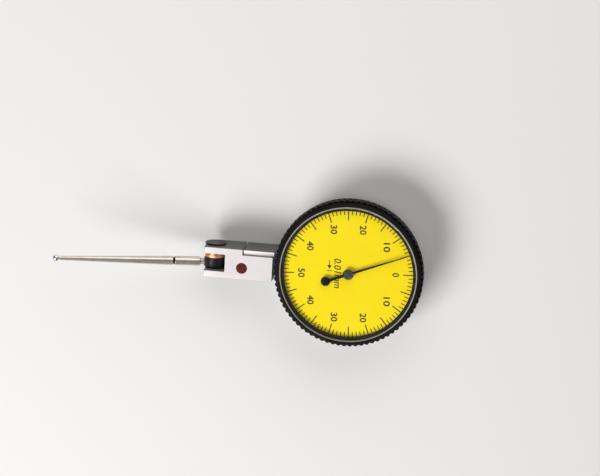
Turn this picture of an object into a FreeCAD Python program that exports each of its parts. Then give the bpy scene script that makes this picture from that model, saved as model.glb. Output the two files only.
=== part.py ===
import FreeCAD, Part
import math
import os
import re
import Sketcher
from FreeCAD import Placement, Rotation, Vector

# Lever-type dial test indicator, 0.01 mm per division, 42 mm stylus, 39 mm dial.
# Frame: it lies on its back. The origin is on the hand's axis in the rest plane of the
# rear dovetail, +Z is the way the dial faces, the stylus reaches towards -X, and the
# side dovetail is on the +Y side.

doc = FreeCAD.newDocument("dial_test_indicator")

sizes = {
    # Body: a bar with a fork at its front end and a round case at its back end
    "rear_rail_height": 1.6,
    "rear_rail_width": 6.4,
    "rear_rail_length": 26.0,
    "rail_undercut": 0.9,
    "rail_sunk": 0.2,
    "body_thick": 9.4,
    "bar_width": 8.0,
    "bar_reach": 18.7,
    "bar_end_gap": 0.5,
    "bar_root_inset": 1.0,
    "bar_back_round": 3.0,
    "bar_front_round": 0.35,
    "nose_to_pivot": 2.4,
    "fork_gap": 4.7,
    "fork_round": 0.3,
    "drum_clearance": 0.4,
    "side_rail_height": 1.5,
    "side_rail_groove": 0.7,
    "side_rail_undercut": 0.35,
    "rail_to_case": 0.2,
    "pivot_to_slit": 7.95,
    "slit_width": 0.35,
    "pivot_to_seal": 7.75,
    "seal_y": -0.97,
    "seal_radius": 1.48,
    "seal_depth": 1.5,
    # Case
    "case_floor": 0.8,
    "skirt_inset": 0.2,
    "skirt_width": 1.1,
    "skirt_thick": 1.25,
    "skirt_fit": 0.02,
    "skirt_round": 0.3,
    "neck_wall": 1.4,
    "neck_top_below_dial": 1.0,
    "rail_end_inset": 0.6,
    "ledge_width": 2.2,
    # Bezel, dial and crystal
    "bezel_radius": 19.7,
    "bezel_gap": 0.45,
    "bezel_flange_thick": 2.2,
    "flange_over_dial": 0.3,
    "bezel_fit": 0.07,
    "bezel_wall": 2.5,
    "knurl_land": 0.6,
    "bezel_ring_height": 1.4,
    "bezel_ring_chamfer": 0.35,
    "knurl_teeth": 80,
    "knurl_depth": 0.4,
    "knurl_groove_share": 0.73,
    "dial_over_body": -0.1,
    "dial_thick": 0.4,
    "dial_inset": 1.7,
    "dial_hole": 0.95,
    "dial_ledge_width": 1.6,
    "dial_ledge_thick": 0.4,
    "seat_clearance": 0.05,
    "spacer_width": 1.0,
    "spacer_thick": 0.9,
    "crystal_land": 0.6,
    "crystal_inset": 0.2,
    "crystal_rim": 0.8,
    "crystal_dome": 0.4,
    "crystal_bevel": 0.6,
    "crystal_glass": 0.65,
    "gasket_width": 0.3,
    "gasket_sunk": 0.1,
    "snap_wire": 0.45,
    "snap_lip": 0.2,
    "snap_play": 0.05,
    "snap_opening": 1.6,
    "snap_seat": 0.3,
    "bezel_turned": 3.4,
    # Hand
    "hand_reading": 5.1,
    "hand_short_of_spacer": 0.4,
    "hand_tip_width": 0.2,
    "hand_tail_width": 0.5,
    "hand_boss": 1.12,
    "hand_thick": 0.15,
    "hand_over_dial": 0.75,
    "tail_length": 6.3,
    "tail_radius": 1.25,
    "hub_radius": 1.4,
    "hub_sleeve": 0.25,
    "hub_chamfer": 0.2,
    "hub_web": 0.2,
    "hub_over_dial": 0.3,
    "hub_top_over_dial": 1.15,
    # Gear train: lever sector to crown pinion 33:1, crown wheel to centre pinion 8:1
    "sector_count": 396,
    "sector_teeth": 6,
    "crown_pinion_teeth": 12,
    "crown_teeth": 80,
    "centre_pinion_teeth": 10,
    "crown_module": 0.07,
    "crown_tip_share": 0.9,
    "crown_root_share": 1.3,
    "crown_top_width": 0.2,
    "crown_foot_width": 0.48,
    "crown_tooth_sunk": 0.05,
    "crown_tooth_short": 0.02,
    "crown_holes": 4,
    "crown_hole_radius": 0.6,
    "crown_hole_circle": 1.55,
    "lever_plane": 1.7,
    "lever_thick": 0.5,
    "lever_hub_radius": 2.4,
    "lever_arm_width": 1.5,
    "lever_root_width": 1.95,
    "lever_root_reach": 1.44,
    "sector_shoulder": 0.3,
    "sector_rim": 4,
    "sector_neck": 16,
    "lever_passage": 3.5,
    "lever_room": 0.35,
    "pinion_width": 1.3,
    "crown_web": 0.6,
    "crown_face": 0.5,
    "crown_end_play": 0.2,
    "crown_window_room": 0.3,
    "crown_window_reach": 0.75,
    "plate_thick": 0.5,
    "plate_clearance": 0.1,
    "post_inner": 3.0,
    "post_thick": 0.8,
    "post_width": 3.0,
    "post_below_axis": 1.2,
    "foot_length": 7.0,
    "foot_reach": 2.6,
    "foot_thick": 0.5,
    "foot_screw_end": 1.2,
    "foot_screw_edge": 0.9,
    "finger_thick": 0.6,
    "finger_top": 2.05,
    "finger_left": 0.45,
    "finger_right": 0.9,
    "finger_past_axis": 0.25,
    "centre_pivot": 0.15,
    "centre_pivot_spare": 0.3,
    "centre_shoulder_gap": 0.1,
    "centre_mesh_spare": 0.05,
    "centre_plate_play": 0.03,
    "centre_arbor": 0.3,
    "centre_bush": 0.9,
    "crown_arbor": 0.45,
    "crown_pivot": 0.26,
    "crown_bush": 0.7,
    "hairspring_inner": 0.95,
    "hairspring_outer": 3.7,
    "hairspring_turns": 4,
    "hairspring_strip": 0.08,
    "hairspring_width": 0.2,
    "hairspring_lift": 0.2,
    "collet_rim": 0.05,
    "stud_radius": 0.45,
    "stud_height": 0.5,
    "screw_radius": 0.5,
    "screw_head": 0.95,
    "screw_head_height": 0.35,
    "screw_slot_width": 0.2,
    "screw_slot_depth": 0.14,
    "screw_play": 0.2,
    "screw_length": 2.0,
    "screw_inset": 1.0,
    "plate_screws": 3,
    # Lever pivot, clutch and stylus
    "running_fit": 0.04,
    "pivot_arbor": 0.75,
    "pivot_end": 0.45,
    "arbor_shoulder": 0.15,
    "pivot_bush": 1.2,
    "bush_below_cap": 0.45,
    "cap_radius": 2.8,
    "cap_thick": 0.45,
    "drum_radius": 2.85,
    "drum_bottom": -2.27,
    "drum_top": 0.55,
    "drum_chamfer": 0.25,
    "clutch_gap": 0.05,
    "clutch_radius": 2.7,
    "spring_thick": 0.12,
    "spring_radius": 2.1,
    "stylus_rise": 14.3,
    "stylus_tail_radius": 0.6,
    "stylus_tail_depth": 1.7,
    "stylus_tail_play": 0.1,
    "stylus_neck_radius": 0.9,
    "stylus_neck_end": 3.9,
    "stylus_grip_radius": 1.225,
    "stylus_grip_chamfer": 0.15,
    "stylus_groove_at": 10.97,
    "stylus_groove_width": 0.6,
    "stylus_groove_depth": 0.45,
    "stylus_point_radius": 0.55,
    "stylus_length": 42.0,
    "ball_radius": 1.0,
    "ball_pin": 0.4,
    # How far a cutter runs past what it cuts
    "overrun": 1.0,
}

# Places and sizes that follow from the ones above
follows = {
    "skirt_radius": "bezel_radius - skirt_inset",
    "case_radius": "skirt_radius - skirt_width",
    "neck_radius": "bezel_radius - bezel_wall",
    "ledge_radius": "neck_radius - neck_wall",
    "case_bore": "ledge_radius - ledge_width",
    "plate_radius": "ledge_radius - plate_clearance",
    "screw_circle": "case_bore + screw_inset",
    "bezel_ring_radius": "bezel_radius - knurl_land",
    "dial_radius": "bezel_radius - dial_inset",
    "dial_ledge_radius": "dial_radius - dial_ledge_width",
    "spacer_bore": "dial_radius - spacer_width",
    "crystal_radius": "dial_radius - crystal_inset",
    "hand_length": "spacer_bore - hand_short_of_spacer",
    "bar_nose_x": "-bezel_radius - bar_reach",
    "pivot_x": "bar_nose_x + nose_to_pivot",
    "fork_end": "pivot_x + drum_radius + drum_clearance",
    "bar_end": "-bezel_radius - bar_end_gap",
    "side_rail_start": "pivot_x + pivot_to_slit",
    "seal_x": "pivot_x + pivot_to_seal",
    "body_front": "rear_rail_height + body_thick",
    "axis_z": "rear_rail_height + body_thick / 2",
    "dial_z": "body_front + dial_over_body",
    "dial_back": "dial_z - dial_thick",
    "neck_top": "dial_z - neck_top_below_dial",
    "plate_top": "neck_top",
    "plate_bottom": "plate_top - plate_thick",
    "flange_top": "dial_z + flange_over_dial",
    "flange_bottom": "flange_top - bezel_flange_thick",
    "case_top": "flange_bottom - bezel_gap",
    "bezel_bore": "neck_radius + bezel_fit",
    "bezel_front": "flange_top + bezel_ring_height",
    "dial_seat_bore": "dial_radius + seat_clearance",
    "crystal_back": "dial_z + spacer_thick",
    "gasket_bore": "crystal_radius + seat_clearance / 2",
    "gasket_seat": "gasket_bore + gasket_width",
    "snap_z": "flange_bottom + snap_lip",
    "snap_inner": "neck_radius - snap_seat",
    "snap_outer": "neck_radius + snap_seat",
    "arm_inside": "fork_gap / 2",
    "pivot_bush_length": "bar_width / 2 - arm_inside - bush_below_cap",
    "side_rail_root": "bar_width / 2 - side_rail_height",
    "sector_ratio": "sector_count / crown_pinion_teeth",
    "sector_radius": "-pivot_x * sector_ratio / (sector_ratio + 1)",
    "gear_module": "2 * sector_radius / sector_count",
    "crown_pinion_radius": "gear_module * crown_pinion_teeth / 2",
    "crown_radius": "crown_module * crown_teeth / 2",
    "centre_pinion_radius": "crown_module * centre_pinion_teeth / 2",
    "crown_outer": "crown_radius + crown_face / 2",
    "crown_inner": "crown_radius - crown_face / 2",
    "crown_tip": "-centre_pinion_radius + crown_tip_share * crown_module",
    "crown_root": "-centre_pinion_radius - crown_root_share * crown_module",
    "crown_pitch": "pi * crown_module",
    "lever_top": "lever_plane + lever_thick / 2",
    "lever_bottom": "lever_plane - lever_thick / 2",
    "post_outer": "post_inner + post_thick",
    "finger_z": "axis_z + finger_top - finger_thick",
    "drum_mid": "(drum_top + drum_bottom) / 2",
    "hand_z": "dial_z + hand_over_dial",
    "hub_top": "dial_z + hub_top_over_dial",
    "hand_angle": "bezel_turned + hand_reading * 3.6",
    "stylus_tail_end": "drum_radius - stylus_tail_depth",
    "ball_seat": "stylus_length - ball_radius * 0.8",
    "ball_pin_end": "stylus_length - ball_radius * 0.4",
}

sheet = doc.addObject("Spreadsheet::Sheet", "sizes")
for row, (alias, value) in enumerate(sizes.items(), start=1):
    sheet.set(f"A{row}", alias)
    sheet.set(f"B{row}", str(value))
    sheet.setAlias(f"B{row}", alias)
doc.recompute()


def formula(text):
    """Write a formula of size names as an expression that the sheet answers."""
    words = re.split(r"([A-Za-z_]\w*)", str(text))
    for i, word in enumerate(words):
        if word in follows:
            words[i] = "(" + formula(follows[word]) + ")"
        elif word in sizes:
            words[i] = "sizes." + word
    return "".join(words)


def number(text):
    """The value of such a formula now."""
    return float(sheet.evalExpression(formula(text)))


def bind(thing, **properties):
    for name, text in properties.items():
        thing.setExpression(name, formula(text))


turnedTo = {
    "Z": Rotation(),
    "Y": Rotation(Vector(1, 0, 0), -90),
    "X": Rotation(Vector(0, 1, 0), 90),
}


def place(thing, at, axis="Z"):
    """Put a thing at three formulas, with its own Z along the axis named."""
    thing.Placement = Placement(Vector(0, 0, 0), turnedTo[axis])
    for letter, text in zip("xyz", at):
        thing.setExpression("Placement.Base." + letter, formula(text))
    return thing


def cylinder(name, radius, height, at=(0, 0, 0), axis="Z"):
    rod = doc.addObject("Part::Cylinder", name)
    bind(rod, Radius=radius, Height=height)
    return place(rod, at, axis)


def box(name, x, y, z):
    """A block between two formulas along each axis."""
    block = doc.addObject("Part::Box", name)
    sides = [f"({high}) - ({low})" for low, high in (x, y, z)]
    bind(block, Length=sides[0], Width=sides[1], Height=sides[2])
    return place(block, (x[0], y[0], z[0]))


def joined(name, pieces):
    whole = doc.addObject("Part::MultiFuse", name)
    whole.Shapes = pieces
    whole.Refine = True
    return whole


def cut(name, base, tools):
    tool = tools[0] if len(tools) == 1 else joined(name + "_tools", tools)
    rest = doc.addObject("Part::Cut", name)
    rest.Base = base
    rest.Tool = tool
    return rest


def ring(name, outer, inner, height, at=(0, 0, 0), axis="Z"):
    body = cylinder(name + "_outside", outer, height, at, axis)
    hole = cylinder(name + "_hole", inner, height, at, axis)
    return cut(name, body, [hole])


def originPlane(body, role):
    return next(p for p in body.Origin.OriginFeatures if p.Role == role)


def sketch(body, name, role, points):
    """A closed outline on an origin plane, each corner held by two formulas."""
    outline = body.newObject("Sketcher::SketchObject", name)
    outline.AttachmentSupport = (originPlane(body, role), [""])
    outline.MapMode = "FlatFace"
    corners = [Vector(number(a), number(b), 0) for a, b in points]
    count = len(corners)
    for i in range(count):
        outline.addGeometry(Part.LineSegment(corners[i], corners[(i + 1) % count]), False)
    for i in range(count):
        outline.addConstraint(Sketcher.Constraint("Coincident", i, 2, (i + 1) % count, 1))
    for i, (a, b) in enumerate(points):
        across = outline.addConstraint(
            Sketcher.Constraint("DistanceX", -1, 1, i, 1, corners[i].x))
        outline.renameConstraint(across, f"across{i}")
        outline.setExpression(f"Constraints.across{i}", formula(a))
        up = outline.addConstraint(
            Sketcher.Constraint("DistanceY", -1, 1, i, 1, corners[i].y))
        outline.renameConstraint(up, f"up{i}")
        outline.setExpression(f"Constraints.up{i}", formula(b))
    outline.Visibility = False
    return outline


def turned(name, points, at=(0, 0, 0), axis="Z"):
    """A turned piece: an outline of (radius, height) swept round its own Z."""
    body = doc.addObject("PartDesign::Body", name)
    spin = body.newObject("PartDesign::Revolution", name + "_turning")
    spin.Profile = sketch(body, name + "_outline", "XZ_Plane", points)
    spin.ReferenceAxis = (spin.Profile[0], ["V_Axis"])
    spin.Angle = 360
    body.Tip = spin
    return place(body, at, axis)


def group(name, pieces):
    """Separate solids that share one node, such as a set of screws."""
    kit = doc.addObject("Part::Compound", name)
    kit.Links = pieces
    return kit


def feature(name, shape):
    piece = doc.addObject("Part::Feature", name)
    piece.Shape = shape
    return piece


nodes = []


def node(name, piece):
    """Name a finished sub-part and keep it for export."""
    piece.Label = name
    nodes.append(piece)
    return piece


# Frame body: one casting of bar, fork, side rail, round case and rear rail
def pad(body, name, role, points, length, start=None, middle=False):
    """Thicken an outline on an origin plane, from a start along the plane's normal."""
    block = body.newObject("PartDesign::Pad", name)
    outline = sketch(body, name + "_outline", role, points)
    block.Profile = outline
    block.Midplane = middle
    if start is not None:
        outline.setExpression("AttachmentOffset.Base.z", formula(start))
    block.setExpression("Length", formula(length))
    body.Tip = block
    return block


def pocket(body, name, role, points, length, start=None, middle=False):
    """Cut an outline against the plane's normal, starting at a distance along it."""
    hollow = body.newObject("PartDesign::Pocket", name)
    outline = sketch(body, name + "_outline", role, points)
    hollow.Profile = outline
    hollow.Midplane = middle
    if start is not None:
        outline.setExpression("AttachmentOffset.Base.z", formula(start))
    hollow.setExpression("Length", formula(length))
    body.Tip = hollow
    return hollow


def rectangle(left, right, low, high):
    return [(left, low), (right, low), (right, high), (left, high)]


frame = doc.addObject("PartDesign::Body", "frame_casting")
pad(frame, "bar", "XZ_Plane", [
    ("bar_nose_x", "rear_rail_height"),
    ("-case_bore - bar_root_inset", "rear_rail_height"),
    ("-case_bore - bar_root_inset", "case_top"),
    ("-bezel_radius + rail_end_inset", "case_top"),
    ("-bezel_radius + rail_end_inset", "body_front"),
    ("bar_nose_x", "body_front"),
], "bar_width", middle=True)
case = frame.newObject("PartDesign::Revolution", "case")
case.Profile = sketch(frame, "case_outline", "XZ_Plane", [
    ("0", "rear_rail_height"),
    ("case_radius", "rear_rail_height"),
    ("case_radius", "case_top"),
    ("neck_radius", "case_top"),
    ("neck_radius", "snap_z"),
    ("snap_inner - snap_play", "snap_z"),
    ("snap_inner - snap_play", "snap_z + snap_wire"),
    ("neck_radius", "snap_z + snap_wire"),
    ("neck_radius", "neck_top"),
    ("ledge_radius", "neck_top"),
    ("ledge_radius", "plate_bottom"),
    ("0", "plate_bottom"),
])
case.ReferenceAxis = (case.Profile[0], ["V_Axis"])
case.Angle = 360
frame.Tip = case
pad(frame, "rear_rail", "YZ_Plane", [
    ("-rear_rail_width / 2", "0"),
    ("rear_rail_width / 2", "0"),
    ("rear_rail_width / 2 - rail_undercut", "rear_rail_height + rail_sunk"),
    ("-rear_rail_width / 2 + rail_undercut", "rear_rail_height + rail_sunk"),
], "rear_rail_length", middle=True)
cavity = frame.newObject("PartDesign::Groove", "movement_room")
cavity.Profile = sketch(frame, "movement_room_outline", "XZ_Plane", [
    ("0", "rear_rail_height + case_floor"),
    ("case_bore", "rear_rail_height + case_floor"),
    ("case_bore", "plate_bottom + overrun"),
    ("0", "plate_bottom + overrun"),
])
cavity.ReferenceAxis = (cavity.Profile[0], ["V_Axis"])
cavity.Angle = 360
frame.Tip = cavity
pocket(frame, "fork_slot", "XZ_Plane", rectangle(
    "bar_nose_x - overrun", "fork_end", "0", "body_front + overrun"),
    "fork_gap", middle=True)
doc.recompute()


def edgesAlong(shape, axis, *places):
    """Names of the edges along an axis that stand at a place on the two other axes."""
    others = [letter for letter in "XYZ" if letter != axis]
    found = []
    for i, edge in enumerate(shape.Edges, start=1):
        box = edge.BoundBox
        if all(getattr(box, letter + "Length") < 1e-4
               and abs(getattr(box, letter + "Min") - place) < 1e-3
               for letter, place in zip(others, places)):
            found.append(f"Edge{i}")
    return found


def rounded(name, corners, radius):
    """Round edges of the frame body as it is so far."""
    base = frame.Tip
    rounding = frame.newObject("PartDesign::Fillet", name)
    rounding.Base = (base, corners)
    rounding.setExpression("Radius", formula(radius))
    frame.Tip = rounding
    doc.recompute()


rounded("fork_corners", [edge for side in (1, -1) for edge in edgesAlong(
    frame.Tip.Shape, "Z", number("fork_end"), side * number("arm_inside"))], "fork_round")
pocket(frame, "lever_passage", "XZ_Plane", rectangle(
    "fork_end - overrun", "-case_bore + overrun",
    "axis_z - lever_passage / 2", "axis_z + lever_passage / 2"),
    "arm_inside - lever_bottom + lever_room", start="-(lever_bottom - lever_room)")
for side, edge in (("front", "body_front"), ("back", "rear_rail_height")):
    inward = "-" if side == "front" else "+"
    pocket(frame, "side_rail_" + side, "YZ_Plane", [
        ("side_rail_root", f"{edge}"),
        ("side_rail_root", f"{edge} {inward} side_rail_groove"),
        ("bar_width / 2 - side_rail_undercut", f"{edge}"),
    ], "-side_rail_start - case_radius - rail_to_case", start="-case_radius - rail_to_case")
pocket(frame, "relief_slit", "XY_Plane", rectangle(
    "side_rail_start - slit_width / 2", "side_rail_start + slit_width / 2",
    "side_rail_root", "bar_width"), "body_front * 2", middle=True)
doc.recompute()
for name, level, radius in (("nose_back", "rear_rail_height", "bar_back_round"),
                            ("nose_front", "body_front", "bar_front_round")):
    rounded(name, edgesAlong(frame.Tip.Shape, "Y", number("bar_nose_x"), number(level)), radius)

bores = [
    cylinder("pivot_bores", "pivot_bush", "bar_width + 2 * overrun",
             ("pivot_x", "-bar_width / 2 - overrun", "axis_z"), "Y"),
    cylinder("seal_bore", "seal_radius", "seal_depth + overrun",
             ("seal_x", "seal_y", "body_front - seal_depth")),
    ring("bezel_room", "bezel_radius + bezel_gap", "neck_radius", "body_front",
         ("0", "0", "case_top")),
    box("bar_end_room", ("bar_end", "-bezel_radius + rail_end_inset"),
        ("-bar_width", "side_rail_root"), ("case_top", "body_front + overrun")),
]
screwAngles = [90 + 360 * i / int(number("plate_screws"))
               for i in range(int(number("plate_screws")))]


def onCircle(radius, angle):
    """Formulas for a place on a circle round the hand's axis."""
    return (f"{radius} * cos({angle})", f"{radius} * sin({angle})")


for i, angle in enumerate(screwAngles):
    x, y = onCircle("screw_circle", angle)
    bores.append(cylinder(f"plate_screw_bore{i}", "screw_radius",
                          "screw_length + screw_play + overrun",
                          (x, y, "plate_bottom - screw_length - screw_play")))
node("frame_body", cut("frame_body", frame, bores))

# Black skirt pressed round the case under the bezel, open where the bar joins
skirt = turned("case_skirt_ring", [
    ("case_radius + skirt_fit", "case_top - skirt_thick"),
    ("skirt_radius - skirt_round", "case_top - skirt_thick"),
    ("skirt_radius", "case_top - skirt_thick + skirt_round"),
    ("skirt_radius", "case_top"),
    ("case_radius + skirt_fit", "case_top"),
])
node("case_skirt", cut("case_skirt", skirt, [box("skirt_opening", (
    "-bezel_radius * 2", "-case_bore"), ("-bar_width / 2 - skirt_fit",
                                          "bar_width / 2 + skirt_fit"), ("0", "body_front"))]))

# Bezel: knurled ring that turns on the case neck and carries the dial and the crystal
bezelBlank = turned("bezel_blank", [
    ("bezel_bore", "flange_bottom"),
    ("bezel_radius", "flange_bottom"),
    ("bezel_radius", "flange_top"),
    ("bezel_ring_radius", "flange_top"),
    ("bezel_ring_radius", "bezel_front - bezel_ring_chamfer"),
    ("bezel_ring_radius - bezel_ring_chamfer", "bezel_front"),
    ("gasket_seat", "bezel_front"),
    ("gasket_seat", "crystal_back"),
    ("dial_seat_bore", "crystal_back"),
    ("dial_seat_bore", "dial_back"),
    ("dial_ledge_radius", "dial_back"),
    ("dial_ledge_radius", "dial_back - dial_ledge_thick"),
    ("bezel_bore", "dial_back - dial_ledge_thick"),
    ("bezel_bore", "snap_z + snap_wire"),
    ("snap_outer + snap_play", "snap_z + snap_wire"),
    ("snap_outer + snap_play", "snap_z"),
    ("bezel_bore", "snap_z"),
])


def knurlCutters():
    """One V-shaped cutter between each two teeth of the bezel's edge."""
    teeth = int(number("knurl_teeth"))
    radius = number("bezel_radius")
    depth = number("knurl_depth")
    bottom = number("flange_bottom - overrun")
    tall = number("bezel_flange_thick + 2 * overrun")
    half = math.pi * radius / teeth * number("knurl_groove_share")
    corners = [Vector(radius - depth, 0, bottom),
               Vector(radius + depth / 2, -half * 1.5, bottom),
               Vector(radius + depth / 2, half * 1.5, bottom)]
    face = Part.Face(Part.makePolygon(corners + corners[:1]))
    cutter = face.extrude(Vector(0, 0, tall))
    return Part.makeCompound([
        cutter.rotated(Vector(), Vector(0, 0, 1), 360 * (i + 0.5) / teeth)
        for i in range(teeth)])


node("bezel_ring", cut("bezel_ring", bezelBlank, [feature("knurl_cutters", knurlCutters())]))
node("dial_plate", ring("dial_plate", "dial_radius", "dial_hole", "dial_thick",
                        ("0", "0", "dial_back")))
node("dial_spacer", ring("dial_spacer", "dial_radius", "spacer_bore", "spacer_thick",
                         ("0", "0", "dial_z")))
node("crystal", turned("crystal", [
    ("0", "crystal_back + crystal_rim + crystal_dome - crystal_glass"),
    ("crystal_radius - crystal_land", "crystal_back + crystal_rim + crystal_dome - crystal_glass"),
    ("crystal_radius - crystal_land", "crystal_back"),
    ("crystal_radius", "crystal_back"),
    ("crystal_radius", "crystal_back + crystal_rim"),
    ("crystal_radius - crystal_bevel", "crystal_back + crystal_rim + crystal_dome"),
    ("0", "crystal_back + crystal_rim + crystal_dome"),
]))
node("crystal_gasket", ring("crystal_gasket", "gasket_seat", "gasket_bore",
                            "bezel_front - crystal_back - gasket_sunk",
                            ("0", "0", "crystal_back")))
snapGap = box("snap_gap", ("snap_inner - overrun", "snap_outer + overrun"),
              ("-snap_opening / 2", "snap_opening / 2"),
              ("snap_z - overrun", "snap_z + snap_wire + overrun"))
node("bezel_snap_ring", cut("bezel_snap_ring", ring(
    "snap_hoop", "snap_outer", "snap_inner", "snap_wire - 2 * snap_play",
    ("0", "0", "snap_z + snap_play")), [snapGap]))

# Movement plate on the case ledge, its screws and the centre bush
plateCuts = [
    cylinder("centre_bush_bore", "centre_bush", "plate_thick * 3",
             ("0", "0", "plate_bottom - plate_thick")),
    box("crown_window", ("-crown_outer * 0.6", "crown_outer * 0.6"),
        ("crown_root - crown_web - crown_window_room", "crown_root + crown_window_reach"),
        ("plate_bottom - overrun", "plate_top + overrun")),
]
plateScrews = []
for i, angle in enumerate(screwAngles):
    x, y = onCircle("screw_circle", angle)
    plateCuts.append(cylinder(f"plate_screw_hole{i}", "screw_radius + running_fit",
                              "plate_thick * 3", (x, y, "plate_bottom - plate_thick")))
    shank = cylinder(f"plate_screw_shank{i}", "screw_radius - running_fit",
                     "plate_thick + screw_length", (x, y, "plate_bottom - screw_length"))
    head = cylinder(f"plate_screw_head{i}", "screw_head", "screw_head_height",
                    (x, y, "plate_top"))
    slot = box(f"plate_screw_slot{i}", (f"{x} - screw_head", f"{x} + screw_head"),
               (f"{y} - screw_slot_width / 2", f"{y} + screw_slot_width / 2"),
               ("plate_top + screw_head_height - screw_slot_depth",
                "plate_top + screw_head_height + overrun"))
    plateScrews.append(cut(f"plate_screw{i}", joined(f"plate_screw_blank{i}",
                                                     [shank, head]), [slot]))
node("plate_screws", group("plate_screws", plateScrews))
node("centre_bush", ring("centre_bush", "centre_bush", "centre_arbor + running_fit",
                         "plate_thick", ("0", "0", "plate_bottom")))


# Two bearing posts under the plate carry the crown arbor. The one on the lever's side
# has a finger that reaches over the lever to the foot of the centre arbor.
def bearingPost(name, side, extra, holes):
    """A post with a foot under the plate. Side is +1 towards +Y and -1 towards -Y."""
    near, far = f"{side} * post_inner", f"{side} * post_outer"
    footEnd = f"{side} * (post_inner + foot_reach)"
    if side < 0:
        post = (far, near)
        foot = (footEnd, near)
    else:
        post = (near, far)
        foot = (near, footEnd)
    upright = box(name + "_upright", ("-post_width / 2", "post_width / 2"), post,
                  ("axis_z - post_below_axis", "plate_bottom"))
    base = box(name + "_foot", ("-foot_length / 2", "foot_length / 2"), foot,
               ("plate_bottom - foot_thick", "plate_bottom"))
    bore = cylinder(name + "_bush_bore", "crown_bush", "post_thick * 3",
                    ("0", f"{side} * (post_inner + post_thick / 2) - post_thick * 1.5",
                     "axis_z"), "Y")
    return cut(name, joined(name + "_blank", [upright, base] + extra), [bore] + holes)


finger = box("finger", ("-finger_left", "finger_right"), ("-finger_past_axis", "post_inner"),
             ("finger_z", "finger_z + finger_thick"))
fingerBore = cylinder("finger_bore", "centre_pivot + running_fit", "finger_thick * 3",
                      ("0", "0", "finger_z - finger_thick"))
footScrews = []
footHoles = {1: [fingerBore], -1: []}
for side in (1, -1):
    for end in (1, -1):
        x = f"{end} * (foot_length / 2 - foot_screw_end)"
        y = f"{side} * (post_inner + foot_reach - foot_screw_edge)"
        tag = f"{'near' if side > 0 else 'far'}_{'right' if end > 0 else 'left'}"
        footHoles[side].append(cylinder("foot_bore_" + tag, "screw_radius", "foot_thick * 3",
                                        (x, y, "plate_bottom - foot_thick * 2")))
        plateCuts.append(cylinder("foot_hole_" + tag, "screw_radius + running_fit",
                                  "plate_thick * 3", (x, y, "plate_bottom - plate_thick")))
        shank = cylinder("foot_screw_shank_" + tag, "screw_radius - running_fit",
                         "plate_thick + foot_thick", (x, y, "plate_bottom - foot_thick"))
        head = cylinder("foot_screw_head_" + tag, "screw_head", "screw_head_height",
                        (x, y, "plate_top"))
        footScrews.append(joined("foot_screw_" + tag, [shank, head]))
node("movement_plate", cut("movement_plate", cylinder(
    "movement_plate_blank", "plate_radius", "plate_thick", ("0", "0", "plate_bottom")),
    plateCuts))
node("post_screws", group("post_screws", footScrews))
node("finger_post", bearingPost("finger_post", 1, [finger], footHoles[1]))
node("plain_post", bearingPost("plain_post", -1, [], footHoles[-1]))
node("crown_bushes", group("crown_bushes", [
    ring("crown_bush_near", "crown_bush", "crown_pivot + running_fit", "post_thick",
         ("0", "post_inner", "axis_z"), "Y"),
    ring("crown_bush_far", "crown_bush", "crown_pivot + running_fit", "post_thick",
         ("0", "-post_outer", "axis_z"), "Y")]))


# Tooth heights in modules from the pitch circle, and the slope of a flank
toothRoot = -1.25
flankEnd = -1.1
toothTip = 0.95
flankSlope = math.tan(math.radians(20))


def gearOutline(teeth, pitchRadius, module, middle, count=None, share=0.42):
    """Points of a toothed rim in its own plane, with a tooth centred on an angle."""
    step = 2 * math.pi / teeth
    count = count or teeth
    radii = [pitchRadius + height * module for height in (toothRoot, 0, toothTip)]
    halves = [(share * math.pi / 2 - height * flankSlope) * module / pitchRadius
              for height in (flankEnd, 0, toothTip)]
    points = []
    for i in range(count):
        centre = middle + (i - (count - 1) / 2 if count != teeth else i) * step
        rise = [(radii[k], centre - halves[k]) for k in (0, 1, 2)]
        fall = [(radii[k], centre + halves[k]) for k in (2, 1, 0)]
        points += [Vector(r * math.cos(a), r * math.sin(a), 0) for r, a in rise + fall]
    return points


def extruded(points, height):
    """A flat piece of a closed run of points, standing on its own XY plane."""
    return Part.Face(Part.makePolygon(points + points[:1])).extrude(Vector(0, 0, height))


def rod(radius, height, start=0):
    return Part.makeCylinder(radius, height, Vector(0, 0, start))


def through(radius):
    """A cutter long enough for any small hole."""
    reach = number("body_thick")
    return rod(radius, 2 * reach, -reach)


# Own X and Y of a piece made in its XY plane, laid into the XZ plane looking along +Y
uprightTurn = Rotation(Vector(1, 0, 0), -90)

# Crown arbor with its pinion, and the crown wheel whose teeth stand on its side
pinionRadius = number("crown_pinion_radius")
gearModule = number("gear_module")
pinion = extruded(gearOutline(int(number("crown_pinion_teeth")), pinionRadius, gearModule,
                              math.pi), number("pinion_width"))
pinionStart = number("lever_plane - pinion_width / 2")
pinion.translate(Vector(0, 0, pinionStart))
crownShoulder = number("post_inner - crown_end_play")
crownArbor = pinion.multiFuse([
    rod(number("crown_arbor"), 2 * crownShoulder, -crownShoulder),
    rod(number("crown_pivot"), 2 * number("post_outer"), -number("post_outer"))])
crownArbor = feature("crown_arbor_part", crownArbor.removeSplitter())
crownArbor.Placement = Placement(Vector(0, 0, number("axis_z")), uprightTurn)
node("crown_arbor", crownArbor)


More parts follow.
